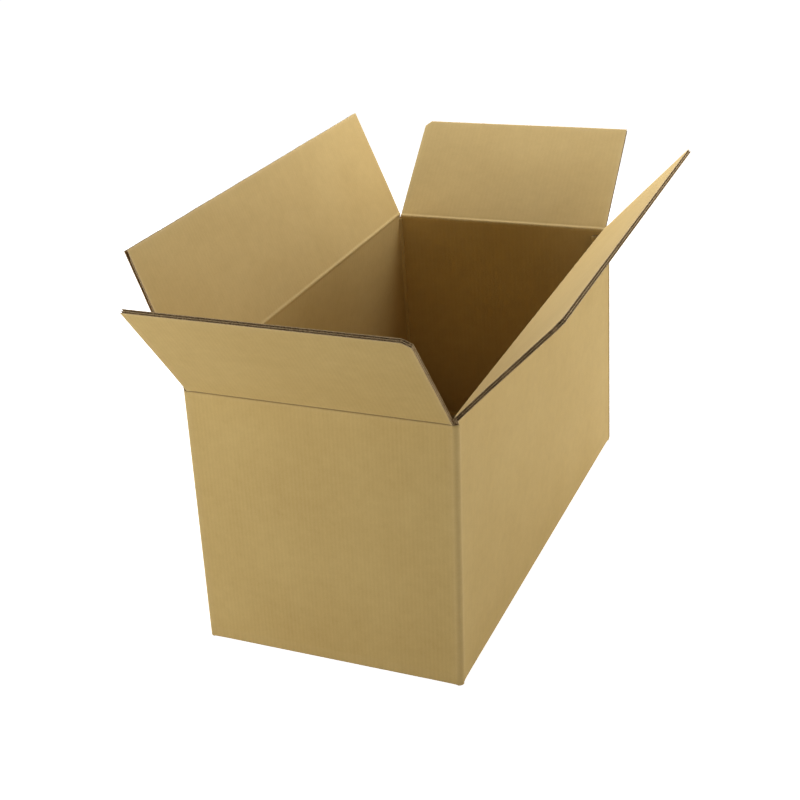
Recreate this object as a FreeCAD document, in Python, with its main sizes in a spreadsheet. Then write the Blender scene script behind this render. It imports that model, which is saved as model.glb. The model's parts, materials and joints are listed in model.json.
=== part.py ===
"""Open corrugated shipping box: one slotted sheet of double-wall board, folded and glued.

Frame: millimetres, +Z up, origin on the ground under the middle of the box.
X runs across the narrow walls, Y along the long walls. The front wall faces -Y.
"""
import FreeCAD, Part
import math
import os
import Sketcher

doc = FreeCAD.newDocument("OpenBox")

# Driving dimensions, in millimetres and degrees
SIZES = {
    # Clear space inside the box once its floor and its lid are shut
    "inner_length": 800.0,
    "inner_width": 400.0,
    "inner_height": 400.0,
    # Double-wall board and its paper
    "board": 6.5,
    "paper": 0.4,
    "fine_layer": 2.3,
    "fine_pitch": 6.3,
    "coarse_pitch": 8.0,
    "flute_crest": 1.6,
    "flute_web": 0.9,
    "flute_depth": 15.0,
    # Folds and cuts
    "fold_radius": 5.5,
    "floor_fold_radius": 4.0,
    "seam_gap": 0.5,
    "slot_inset": 4.0,
    "lid_clearance": 0.5,
    "stack_clearance": 0.3,
    "corner_clip": 11.0,
    "cut_groove": 2.0,
    "groove_start": 14.0,
    # Crease that each top flap turns on
    "crease_gap": 0.3,
    "hinge_proud": 0.15,
    # Glue lap of the side seam, pressed thinner than the board
    "lap_width": 24.0,
    "lap_board": 4.5,
    "lap_taper": 6.0,
    "lap_drop": 2.0,
    # How far each top flap leans out from upright
    "front_lean": 37.3,
    "left_lean": 18.9,
    "back_lean": 48.0,
    "right_lean": 43.7,
}

sheet = doc.addObject("Spreadsheet::Sheet", "Sizes")
for row, (alias, number) in enumerate(SIZES.items(), start=1):
    sheet.set(f"A{row}", alias)
    sheet.set(f"B{row}", str(number))
    sheet.setAlias(f"B{row}", alias)
doc.recompute()


def size(alias):
    """The number in the sheet under this alias."""
    return float(sheet.get(alias))


def worth(expression):
    """The value of an expression on the sheet's cells."""
    return float(sheet.evalExpression(expression))


# Lengths worked out from the driving dimensions, as expressions
BOARD = "Sizes.board"
GAP = "Sizes.crease_gap"
INNER_X = "(Sizes.inner_width / 2)"
INNER_Y = "(Sizes.inner_length / 2)"
OUTER_X = f"({INNER_X} + {BOARD})"
OUTER_Y = f"({INNER_Y} + {BOARD})"
SHORT_HALF = f"({INNER_X} - Sizes.lid_clearance)"
LONG_HALF = f"({OUTER_Y} - Sizes.slot_inset)"
FLAP_DEPTH = f"({OUTER_X} - Sizes.seam_gap / 2)"
FLOOR_TOP = f"({BOARD} * 2)"
SHORT_CREASE = f"({FLOOR_TOP} + Sizes.inner_height + {BOARD} + Sizes.hinge_proud)"
LONG_CREASE = f"({SHORT_CREASE} + {BOARD} + Sizes.stack_clearance)"
FINE_TOP = "Sizes.paper"
FINE_BOTTOM = f"({FINE_TOP} + Sizes.fine_layer)"
COARSE_TOP = f"({FINE_BOTTOM} + Sizes.paper)"
COARSE_BOTTOM = f"({BOARD} - Sizes.paper)"

# The groove between the liners of a cut edge, as (top, bottom) depths under the outer face
BOARD_LAYERS = {"fine": (FINE_TOP, FINE_BOTTOM), "coarse": (COARSE_TOP, COARSE_BOTTOM)}


def origin_plane(body, role):
    """One of the body's own origin planes, with the empty sub-name that a link wants."""
    return next(item for item in body.Origin.OriginFeatures if item.Role == role), [""]


def outline(body, name, plane, loops, offset="0"):
    """A sketch of closed straight-sided loops whose corners are pairs of expressions."""
    sketch = body.newObject("Sketcher::SketchObject", name)
    sketch.AttachmentSupport = origin_plane(body, plane)
    sketch.MapMode = "FlatFace"
    sketch.setExpression("AttachmentOffset.Base.z", offset)
    for corners in loops:
        first = sketch.GeometryCount
        points = [FreeCAD.Vector(worth(across), worth(along), 0) for across, along in corners]
        for start, end in zip(points, points[1:] + points[:1]):
            sketch.addGeometry(Part.LineSegment(start, end))
        for index in range(len(points)):
            following = first + (index + 1) % len(points)
            sketch.addConstraint(Sketcher.Constraint("Coincident", first + index, 2, following, 1))
        for index, pair in enumerate(corners):
            for kind, expression in zip(("DistanceX", "DistanceY"), pair):
                rule = Sketcher.Constraint(kind, -1, 1, first + index, 1, worth(expression))
                number = sketch.addConstraint(rule)
                sketch.setExpression(f"Constraints[{number}]", expression)
    return sketch


def box_loop(low_across, low_along, high_across, high_along):
    """The four corners of a rectangle."""
    return [(low_across, low_along), (high_across, low_along),
            (high_across, high_along), (low_across, high_along)]


def pad(body, name, sketch, length, reverse=False):
    """Raise a sketch by a length."""
    feature = body.newObject("PartDesign::Pad", name)
    feature.Profile = sketch
    feature.setExpression("Length", length)
    feature.Reversed = reverse
    doc.recompute()
    body.Tip = feature
    return feature


def pocket(body, name, sketch, length, reverse=False):
    """Cut a sketch out by a length, and make sure that it took something away."""
    before = body.Tip.Shape.Volume
    feature = body.newObject("PartDesign::Pocket", name)
    feature.Profile = sketch
    feature.setExpression("Length", length)
    feature.Reversed = reverse
    doc.recompute()
    body.Tip = feature
    if feature.Shape.Volume > before - 1e-3:
        raise RuntimeError(f"{name} cuts nothing")
    return feature


def mirrored(body, name, feature, plane):
    """The same feature again on the other side of the body."""
    copy = body.newObject("PartDesign::Mirrored", name)
    copy.Originals = [feature]
    copy.MirrorPlane = origin_plane(body, plane)
    doc.recompute()
    body.Tip = copy
    return copy


def edges_where(shape, along, test):
    """Names of the shape's edges that run along a direction and whose two ends pass the test."""
    names = []
    for number, edge in enumerate(shape.Edges, start=1):
        ends = [vertex.Point for vertex in edge.Vertexes]
        if len(ends) == 2 and near(abs((ends[1] - ends[0]).dot(along)), edge.Length):
            if all(test(point) for point in ends):
                names.append(f"Edge{number}")
    return names


def near(value, target):
    """True where two lengths agree to a hundredth of a millimetre."""
    return abs(value - target) < 0.01


def rounded(body, name, along, test, radius):
    """Round the edges that run along a direction and pass the test."""
    base = body.Tip
    feature = body.newObject("PartDesign::Fillet", name)
    feature.Base = (base, edges_where(base.Shape, along, test))
    feature.setExpression("Radius", radius)
    doc.recompute()
    body.Tip = feature
    return feature


def flute_mouths(layer, half_width):
    """Corner lists of one flute layer's open ends, seen from a panel's free edge.

    The fluted paper rises and falls between two liners. Each pitch has one mouth that is open
    to the layer's upper liner; the space under it belongs to the paper and its glued crests.
    """
    top, bottom = (-worth(depth) for depth in BOARD_LAYERS[layer])
    pitch = size(f"{layer}_pitch")
    wide = (pitch - size("flute_web")) / 2
    narrow = (size("flute_crest") - size("flute_web")) / 2
    reach = worth(half_width) - size("cut_groove") - size("board") / 2
    count = math.floor(2 * reach / pitch)
    mouths = []
    for index in range(count):
        middle = (index - (count - 1) / 2) * pitch
        mouths.append([(middle - wide, top), (middle + wide, top),
                       (middle + narrow, bottom), (middle - narrow, bottom)])
    return mouths


def flute_comb(label, half_width):
    """The air in the open ends of a panel's flutes, as one row of bars for each layer."""
    edge = worth(FLAP_DEPTH)
    bars = []
    for layer in BOARD_LAYERS:
        for mouth in flute_mouths(layer, half_width):
            corners = [FreeCAD.Vector(across, edge, through) for across, through in mouth]
            face = Part.Face(Part.makePolygon(corners + corners[:1]))
            bars.append(face.extrude(FreeCAD.Vector(0, -size("flute_depth"), 0)))
    comb = doc.addObject("Part::Feature", f"{label}_flutes")
    comb.Shape = Part.makeCompound(bars)
    return comb


def top_flap(label, half_width, crease, reach, turn, clipped_end):
    """One top flap, drawn flat and then leant out at its crease.

    Flat, the crease runs along X, the flap reaches along +Y and its outer face is at Z = 0.
    The inner edge at the crease is mitred, so that the flap can fold in to level.
    """
    panel = doc.addObject("PartDesign::Body", f"{label}_panel")
    section = outline(panel, f"{label}_section", "YZ_Plane", [[
        (GAP, "0"), (FLAP_DEPTH, "0"), (FLAP_DEPTH, f"-{BOARD}"), (f"{GAP} + {BOARD}", f"-{BOARD}")
    ]], offset=f"-{half_width}")
    pad(panel, f"{label}_board", section, f"{half_width} * 2")
    clip_x = f"({half_width} - Sizes.corner_clip)"
    clip_y = f"({FLAP_DEPTH} - Sizes.corner_clip)"
    if clipped_end > 0:
        corner = [(clip_x, FLAP_DEPTH), (half_width, clip_y), (half_width, FLAP_DEPTH)]
    else:
        corner = [(f"-{clip_x}", FLAP_DEPTH), (f"-{half_width}", FLAP_DEPTH), (f"-{half_width}", clip_y)]
    if clipped_end:
        clip = outline(panel, f"{label}_clip", "XY_Plane", [corner])
        pocket(panel, f"{label}_clipped", clip, BOARD)
    grooves = [box_loop("Sizes.groove_start", f"-{bottom}", FLAP_DEPTH, f"-{top}")
               for top, bottom in BOARD_LAYERS.values()]
    right_cut = outline(panel, f"{label}_right_cut", "YZ_Plane", grooves, offset=half_width)
    pocket(panel, f"{label}_right_groove", right_cut, "Sizes.cut_groove")
    left_cut = outline(panel, f"{label}_left_cut", "YZ_Plane", grooves, offset=f"-{half_width}")
    pocket(panel, f"{label}_left_groove", left_cut, "Sizes.cut_groove", reverse=True)
    flap = doc.addObject("Part::Cut", label)
    flap.Label = label
    flap.Base = panel
    flap.Tool = flute_comb(label, half_width)
    flap.Refine = False
    proud = size("hinge_proud")
    hinge = FreeCAD.Vector(0, -(worth(reach) + proud), worth(crease))
    lean = FreeCAD.Rotation(FreeCAD.Vector(1, 0, 0), 90 + size(label.replace("flap", "lean")))
    around = FreeCAD.Placement(FreeCAD.Vector(), FreeCAD.Rotation(FreeCAD.Vector(0, 0, 1), turn))
    seat = FreeCAD.Placement(FreeCAD.Vector(0, 0, -proud), FreeCAD.Rotation())
    flap.Placement = around * FreeCAD.Placement(hinge, lean) * seat
    return flap


def walls(body):
    """The four walls as one folded ring, from the short walls' lower fold to their upper crease."""
    ring = [box_loop(f"-{OUTER_X}", f"-{OUTER_Y}", OUTER_X, OUTER_Y),
            box_loop(f"-{INNER_X}", f"-{INNER_Y}", INNER_X, INNER_Y)]
    sketch = outline(body, "wall_ring", "XY_Plane", ring, offset=BOARD)
    pad(body, "wall_band", sketch, f"{SHORT_CREASE} - {GAP} - {BOARD}")
    edge_x = worth(OUTER_X)
    edge_y = worth(OUTER_Y)

    def upright_corner(point):
        """On one of the three folded corners; the fourth is the seam's cut edge."""
        at_corner = near(abs(point.x), edge_x) and near(abs(point.y), edge_y)
        return at_corner and not (point.x > 0 and point.y > 0)

    rounded(body, "corner_folds", FreeCAD.Vector(0, 0, 1), upright_corner, "Sizes.fold_radius")


def floor_flaps(body):
    """Short floor flaps folded in first, then the long ones glued under them with a middle seam."""
    short = outline(body, "short_floor_section", "YZ_Plane",
                    [box_loop(f"-{OUTER_Y}", BOARD, f"{FLAP_DEPTH} - {OUTER_Y}", FLOOR_TOP)],
                    offset=f"-{SHORT_HALF}")
    front = pad(body, "front_floor_flap", short, f"{SHORT_HALF} * 2")
    mirrored(body, "back_floor_flap", front, "XZ_Plane")
    long = outline(body, "long_floor_section", "XZ_Plane",
                   [box_loop(f"{OUTER_X} - {FLAP_DEPTH}", "0", OUTER_X, BOARD)],
                   offset=f"-{LONG_HALF}")
    right = pad(body, "right_floor_flap", long, f"{LONG_HALF} * 2")
    mirrored(body, "left_floor_flap", right, "YZ_Plane")
    edge_x = worth(OUTER_X)

    def lower_fold(point):
        """On the lower edge of a long wall."""
        return near(abs(point.x), edge_x) and near(point.z, 0)

    rounded(body, "floor_folds", FreeCAD.Vector(0, 1, 0), lower_fold, "Sizes.floor_fold_radius")


def wall_tops(body):
    """The mitred edge that each top crease leaves on its wall."""
    top = f"({LONG_CREASE} - {GAP})"
    ring_top = f"({SHORT_CREASE} - {GAP})"
    strip = [(INNER_X, ring_top), (OUTER_X, ring_top), (OUTER_X, top), (INNER_X, f"{top} - {BOARD}")]
    long = outline(body, "long_top_section", "XZ_Plane", [strip], offset=f"-{LONG_HALF}")
    right = pad(body, "right_wall_top", long, f"{LONG_HALF} * 2")
    mirrored(body, "left_wall_top", right, "YZ_Plane")
    mitre = [(INNER_Y, ring_top), (INNER_Y, f"{ring_top} - {BOARD}"), (OUTER_Y, ring_top)]
    short = outline(body, "short_top_section", "YZ_Plane", [mitre], offset=SHORT_HALF)
    back = pocket(body, "back_wall_top", short, f"{SHORT_HALF} * 2")
    mirrored(body, "front_wall_top", back, "XZ_Plane")


def side_seam(body):
    """The seam at the far right corner, where the right wall's lap is glued inside the back wall."""
    radius = "Sizes.fold_radius"
    height = f"{SHORT_CREASE} - {GAP} - {BOARD}"
    notch = outline(body, "seam_notch", "XY_Plane",
                    [[(f"{OUTER_X} - {radius}", INNER_Y), (OUTER_X, f"{INNER_Y} - {radius}"),
                      (OUTER_X, INNER_Y)]], offset=BOARD)
    pocket(body, "seam_fold", notch, height, reverse=True)
    low = f"({FLOOR_TOP} + Sizes.lap_drop)"
    high = f"({FLOOR_TOP} + Sizes.inner_height - Sizes.lap_drop)"
    free = f"({INNER_X} - Sizes.lap_width)"
    lap = outline(body, "lap_shape", "XZ_Plane",
                  [[(INNER_X, low), (INNER_X, high), (free, f"{high} - Sizes.lap_taper"),
                    (free, f"{low} + Sizes.lap_taper")]], offset=f"-{INNER_Y}")
    pad(body, "glue_lap", lap, "Sizes.lap_board")
    layers = [box_loop(f"{OUTER_Y} - {bottom}", BOARD, f"{OUTER_Y} - {top}", f"{BOARD} + {height}")
              for top, bottom in BOARD_LAYERS.values()]
    cut = outline(body, "back_wall_cut", "YZ_Plane", layers, offset=OUTER_X)
    pocket(body, "back_wall_groove", cut, "Sizes.cut_groove")


def folded_body():
    """Walls, floor and side seam of the folded sheet, up to the four top creases."""
    body = doc.addObject("PartDesign::Body", "box_body")
    body.Label = "box_body"
    walls(body)
    floor_flaps(body)
    wall_tops(body)
    side_seam(body)
    return body


SUBPARTS = [
    folded_body(),
    top_flap("front_flap", SHORT_HALF, SHORT_CREASE, OUTER_Y, 0, 1),
    top_flap("right_flap", LONG_HALF, LONG_CREASE, OUTER_X, 90, -1),
    top_flap("back_flap", SHORT_HALF, SHORT_CREASE, OUTER_Y, 180, 1),
    top_flap("left_flap", LONG_HALF, LONG_CREASE, OUTER_X, 270, 0),
]
doc.recompute()

for item in doc.Objects:
    if "Invalid" in item.State or "Error" in item.State:
        raise RuntimeError(f"{item.Label} failed: {item.State}")
for subpart in SUBPARTS:
    shape = subpart.Shape
    if shape.isNull() or not shape.isValid() or len(shape.Solids) != 1:
        raise RuntimeError(f"{subpart.Label} is not one valid solid")

os.makedirs("parts", exist_ok=True)
for subpart in SUBPARTS:
    subpart.Shape.exportStep(f"parts/{subpart.Label}.step")
    print(subpart.Label, round(subpart.Shape.Volume), len(subpart.Shape.Faces))
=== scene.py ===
"""An open cardboard box of double-wall board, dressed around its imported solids. Sizes are in millimetres."""
import json
import logging
import math
from dataclasses import dataclass, field
from enum import Enum
from typing import Any, Callable

import bmesh
import bpy
import numpy as np
from mathutils import Matrix, Vector

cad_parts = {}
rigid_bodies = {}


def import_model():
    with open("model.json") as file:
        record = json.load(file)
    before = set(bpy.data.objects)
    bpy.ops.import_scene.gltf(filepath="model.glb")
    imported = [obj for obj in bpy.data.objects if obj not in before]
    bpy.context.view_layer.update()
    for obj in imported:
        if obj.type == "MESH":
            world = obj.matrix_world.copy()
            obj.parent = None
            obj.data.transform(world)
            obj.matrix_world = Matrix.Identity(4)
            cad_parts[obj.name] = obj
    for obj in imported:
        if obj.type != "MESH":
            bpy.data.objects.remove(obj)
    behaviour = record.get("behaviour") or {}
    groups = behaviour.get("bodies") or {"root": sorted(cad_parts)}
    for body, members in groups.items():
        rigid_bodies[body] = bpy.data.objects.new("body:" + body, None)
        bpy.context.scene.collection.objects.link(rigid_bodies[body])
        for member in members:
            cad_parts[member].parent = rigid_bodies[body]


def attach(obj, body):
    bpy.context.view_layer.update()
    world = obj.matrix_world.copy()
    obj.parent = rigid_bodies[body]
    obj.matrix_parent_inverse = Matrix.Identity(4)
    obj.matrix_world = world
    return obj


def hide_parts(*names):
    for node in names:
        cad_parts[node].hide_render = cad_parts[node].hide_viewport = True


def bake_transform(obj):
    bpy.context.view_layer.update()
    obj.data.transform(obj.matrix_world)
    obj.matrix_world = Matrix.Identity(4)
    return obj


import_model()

logging.basicConfig(level=logging.INFO, format="%(message)s")
LOG = logging.getLogger("open_box")
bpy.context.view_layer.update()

MM = 0.001
INNER_X = 200.0
INNER_Y = 400.0
SHORT_CREASE = 419.65
LONG_CREASE = 426.45
FLAP_DEPTH = 206.25
SHORT_HALF = 199.5
LONG_HALF = 402.5
SLOT_BOTTOM = 419.35
JOIN_TOP = 409.0
JOIN_BOTTOM = 20.0
GUARD = 0.06
POST_FOOT = 2.2
RIDGE = 0.95
SEAM_Y = 395.5


class Side(Enum):
    """The four sides of the box, by the way each one faces."""

    FRONT = "front"
    BACK = "back"
    LEFT = "left"
    RIGHT = "right"

    @property
    def out(self) -> np.ndarray:
        """The way the side's outer face points."""
        ways = {"front": (0, -1, 0), "back": (0, 1, 0), "left": (-1, 0, 0), "right": (1, 0, 0)}
        return np.array(ways[self.value], float)

    @property
    def along(self) -> np.ndarray:
        """The way in which the side's width is counted."""
        return np.array((0, 1, 0) if self.is_long else (1, 0, 0), float)

    @property
    def is_long(self) -> bool:
        """True for the two long sides."""
        return self in (Side.LEFT, Side.RIGHT)

    @property
    def inner(self) -> float:
        """How far the wall's inner face is from the middle of the box."""
        return INNER_X if self.is_long else INNER_Y

    @property
    def corner(self) -> float:
        """How far along its width the wall's inner corners are from the middle."""
        return INNER_Y if self.is_long else INNER_X

    @property
    def crease(self) -> float:
        """Height of the crease of the side's top flap."""
        return LONG_CREASE if self.is_long else SHORT_CREASE


class Finish(Enum):
    """The material of each group of faces on a sheet of board, in slot order, and the floor's inner liner, a
    darker copy of the inner liner with painted shade.
    """

    OUTER = "kraft_outer_liner"
    INNER = "kraft_inner_liner"
    CUT = "cut_liner_edge"
    FLUTE = "fluting_paper"
    FLOOR = "kraft_floor_liner"


@dataclass(frozen=True)
class Board:
    """Double-wall board: three liners with a fine flute layer outside and a coarse one inside."""

    thick: float = 6.5
    paper: float = 0.75
    fine_layer: float = 1.95
    fine_pitch: float = 6.3
    coarse_pitch: float = 8.0
    flute_depth: float = 13.0

    @property
    def levels(self) -> list[tuple[float, bool]]:
        """Depth from the outer face of each line of a cut rim, and whether it lies at the bottom of a gap."""
        fine_start = self.paper
        fine_end = self.paper + self.fine_layer
        coarse_start = fine_end + self.paper
        coarse_end = self.thick - self.paper
        return [
            (0.0, False), (fine_start, False), (fine_start, True), (fine_end, True), (fine_end, False),
            (coarse_start, False), (coarse_start, True), (coarse_end, True), (coarse_end, False),
            (self.thick, False),
        ]

    @property
    def layers(self) -> list[tuple[str, float, float, float]]:
        """Name, start, end and pitch of each flute layer."""
        fine_end = self.paper + self.fine_layer
        return [
            ("fine", self.paper, fine_end, self.fine_pitch),
            ("coarse", fine_end + self.paper, self.thick - self.paper, self.coarse_pitch),
        ]


BOARD = Board()


def wobble(at: np.ndarray, seed: int, length: float) -> np.ndarray:
    """Smooth repeatable noise along a line.

    Args:
        at: Places along the line.
        seed: Which of the noise lines it is.
        length: Distance over which it changes.

    Returns:
        Values from about -1 to 1.
    """
    rng = np.random.default_rng(seed)
    knots = rng.uniform(-1.0, 1.0, 4096)
    scaled = np.asarray(at, float) / length + 2000.0
    low = np.floor(scaled).astype(int) % 4095
    part = scaled - np.floor(scaled)
    part = part * part * (3 - 2 * part)
    return knots[low] * (1 - part) + knots[low + 1] * part


def spread(*stations: float, step: float) -> np.ndarray:
    """Stations with evenly spaced ones put between those that are further apart than a step."""
    ordered = sorted(stations)
    made = [ordered[0]]
    for start, end in zip(ordered, ordered[1:]):
        count = max(1, round((end - start) / step))
        made.extend(start + (end - start) * (k + 1) / count for k in range(count))
    return np.array(made)


def wall_swell(side: Side, along: np.ndarray, height: np.ndarray) -> np.ndarray:
    """How far a wall's face stands out from its plane: a soft bulge, and a ridge at each folded corner.

    Args:
        side: The wall.
        along: Places along its width.
        height: Heights on it.

    Returns:
        Distances outward.
    """
    along = np.asarray(along, float)
    if side is Side.RIGHT:
        along = np.where(along > 380.0, along + side.corner - SEAM_Y, along)
    if side is Side.BACK:
        along = np.minimum(along, 150.0)
    share = np.clip(np.abs(along) / side.corner, 0, 1)
    rise = np.clip(height / side.crease, 0, 1)
    bulge = (1 - share**2) ** 2 * np.sin(math.pi * rise) * (1.0 if side.is_long else 0.7)
    ridge = RIDGE * np.exp(-np.clip(side.corner - np.abs(along), 0, None) / 8.0)
    return bulge + ridge


def settled(points: np.ndarray) -> np.ndarray:
    """Moves points as the used box has racked: its bottom is turned and pushed a little against its top."""
    low = 1 - np.clip(points[:, 2] / 420.0, 0, 1)
    share = np.clip((INNER_Y - points[:, 1]) / (2 * INNER_Y), 0, 1)
    moved = points.copy()
    moved[:, 0] += (6.8 - 14.3 * share) * low
    moved[:, 1] -= 4.2 * low
    return moved


class SheetMesh:
    """One closed sheet of board on a grid of cells, with its rims cut open between the liners."""

    def __init__(self, outer: np.ndarray, inner: np.ndarray, flat: np.ndarray, keep: np.ndarray,
                 gap: np.ndarray, crease: np.ndarray, edge: np.ndarray) -> None:
        """Keeps the grid.

        Args:
            outer: Points of the outer face, one per column and row.
            inner: Points of the inner face.
            flat: Each point's place on the flat board.
            keep: Which cells are there.
            gap: How deep the rim's gaps go at each point, along the columns and the rows.
            crease: How close each point is to a crease, from 0 to 1.
            edge: How close each point is to a cut edge, from 0 to 1.
        """
        self.outer, self.inner, self.flat, self.keep, self.gap = outer, inner, flat, keep, gap
        self.crease, self.edge = crease, edge
        self.columns, self.rows = outer.shape[:2]
        self.points: list[np.ndarray] = [outer.reshape(-1, 3), inner.reshape(-1, 3)]
        flats = flat.reshape(-1, 2)
        self.flats: list[np.ndarray] = [flats, flats]
        self.marks: list[np.ndarray] = [np.stack([crease.ravel(), edge.ravel()], 1)] * 2
        self.faces: list[tuple[int, ...]] = []
        self.slots: list[int] = []

    def kept(self, column: int, row: int) -> bool:
        """True if that cell is part of the sheet."""
        inside = 0 <= column < self.columns - 1 and 0 <= row < self.rows - 1
        return bool(inside and self.keep[column, row])

    def inward(self, column: int, row: int) -> tuple[int, int]:
        """The way into the sheet from a point on its rim, along the columns and the rows."""
        here = {(dc, dr): self.kept(column + dc, row + dr) for dc in (-1, 0) for dr in (-1, 0)}
        if sum(here.values()) == 3:
            return 0, 0
        right = here[0, -1] or here[0, 0]
        left = here[-1, -1] or here[-1, 0]
        up = here[-1, 0] or here[0, 0]
        down = here[-1, -1] or here[0, -1]
        return int(right) - int(left), int(up) - int(down)

    def rim_points(self, column: int, row: int, first: int) -> list[int]:
        """Adds the points of a rim's line at one grid point, and returns their numbers from outer to inner."""
        grid = column * self.rows + row
        start, end = self.outer[column, row], self.inner[column, row]
        into_column, into_row = self.inward(column, row)
        side_shift, up_shift = np.zeros(3), np.zeros(3)
        if into_column:
            step = self.outer[column + into_column, row] - start
            side_shift += step / max(np.linalg.norm(step), 1e-9) * self.gap[column, row, 0]
        if into_row:
            step = self.outer[column, row + into_row] - start
            up_shift += step / max(np.linalg.norm(step), 1e-9) * self.gap[column, row, 1]
        numbers = [grid]
        made = []
        for depth, sunk in BOARD.levels[1:-1]:
            middle = abs(depth - BOARD.thick / 2) < 1.0
            side_share = 1.0 if sunk else 0.5 * middle
            shift = side_shift * side_share + up_shift * float(sunk)
            made.append(start + (end - start) * depth / BOARD.thick + shift)
            numbers.append(first + len(made) - 1)
        self.points.append(np.array(made))
        self.flats.append(np.array([self.flat[column, row] + (0.0, depth) for depth, _ in BOARD.levels[1:-1]]))
        mark = (self.crease[column, row], self.edge[column, row])
        self.marks.append(np.array([mark] * len(made)))
        numbers.append(self.columns * self.rows + grid)
        return numbers

    def build(self, name: str) -> bpy.types.Object:
        """Makes the mesh object.

        Args:
            name: The piece's name.

        Returns:
            The object, in metres, with its liners, cut edges and flute gaps in four material slots.
        """
        size = self.columns * self.rows
        column, row = (int(k[0]) for k in np.nonzero(self.keep))
        side_step = self.outer[column + 1, row] - self.outer[column, row]
        up_step = self.outer[column, row + 1] - self.outer[column, row]
        depth_step = self.inner[column, row] - self.outer[column, row]
        turned = np.dot(np.cross(side_step, up_step), depth_step) > 0
        rims: dict[tuple[int, int], list[int]] = {}
        count = 2 * size
        for column, row in zip(*np.nonzero(self.keep)):
            ring = [(column, row), (column + 1, row), (column + 1, row + 1), (column, row + 1)]
            numbers = [c * self.rows + r for c, r in ring]
            face = numbers[::-1] if turned else numbers
            self.faces.append(tuple(face))
            self.slots.append(0)
            self.faces.append(tuple(size + k for k in face[::-1]))
            self.slots.append(1)
            beside = [(column, row - 1), (column + 1, row), (column, row + 1), (column - 1, row)]
            for k, other in enumerate(beside):
                if self.kept(*other):
                    continue
                ends = (ring[k], ring[(k + 1) % 4])
                for end in ends:
                    if end not in rims:
                        rims[end] = self.rim_points(*end, count)
                        count += len(BOARD.levels) - 2
                self.rim_faces(rims[ends[0]], rims[ends[1]], turned)
        return self.finished(name)

    def rim_faces(self, first: list[int], second: list[int], turned: bool) -> None:
        """Adds the faces of the rim between two of its lines."""
        for level in range(len(BOARD.levels) - 1):
            quad = (first[level], first[level + 1], second[level + 1], second[level])
            self.faces.append(quad[::-1] if turned else quad)
            self.slots.append(2 if level in (0, 4, 8) else 3)

    def finished(self, name: str) -> bpy.types.Object:
        """Turns the collected points and faces into a mesh object with its flat places and marks."""
        points = settled(np.concatenate(self.points)) * MM
        flats = np.concatenate(self.flats) * MM
        marks = np.concatenate(self.marks)
        mesh = bpy.data.meshes.new(name)
        mesh.from_pydata(points.tolist(), [], self.faces)
        mesh.polygons.foreach_set("material_index", self.slots)
        layer = mesh.uv_layers.new(name="board")
        corner_points = np.zeros(len(mesh.loops), np.int32)
        mesh.loops.foreach_get("vertex_index", corner_points)
        owner = np.repeat(np.array(self.slots), [len(f) for f in self.faces])
        spots = flats[corner_points] + np.where(owner == 1, 3.0, 0.0)[:, None]
        layer.data.foreach_set("uv", spots.astype(np.float32).ravel())
        for k, label in enumerate(("crease", "edge")):
            mark = mesh.attributes.new(label, "FLOAT", "POINT")
            mark.data.foreach_set("value", marks[:, k].astype(np.float32))
        work = bmesh.new()
        work.from_mesh(mesh)
        bmesh.ops.remove_doubles(work, verts=work.verts, dist=1e-6)
        loose = [v for v in work.verts if not v.link_faces]
        bmesh.ops.delete(work, geom=loose, context="VERTS")
        for face in work.faces:
            face.smooth = face.material_index < 2
        work.to_mesh(mesh)
        work.free()
        made = bpy.data.objects.new(name, mesh)
        bpy.context.scene.collection.objects.link(made)
        return made


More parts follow.
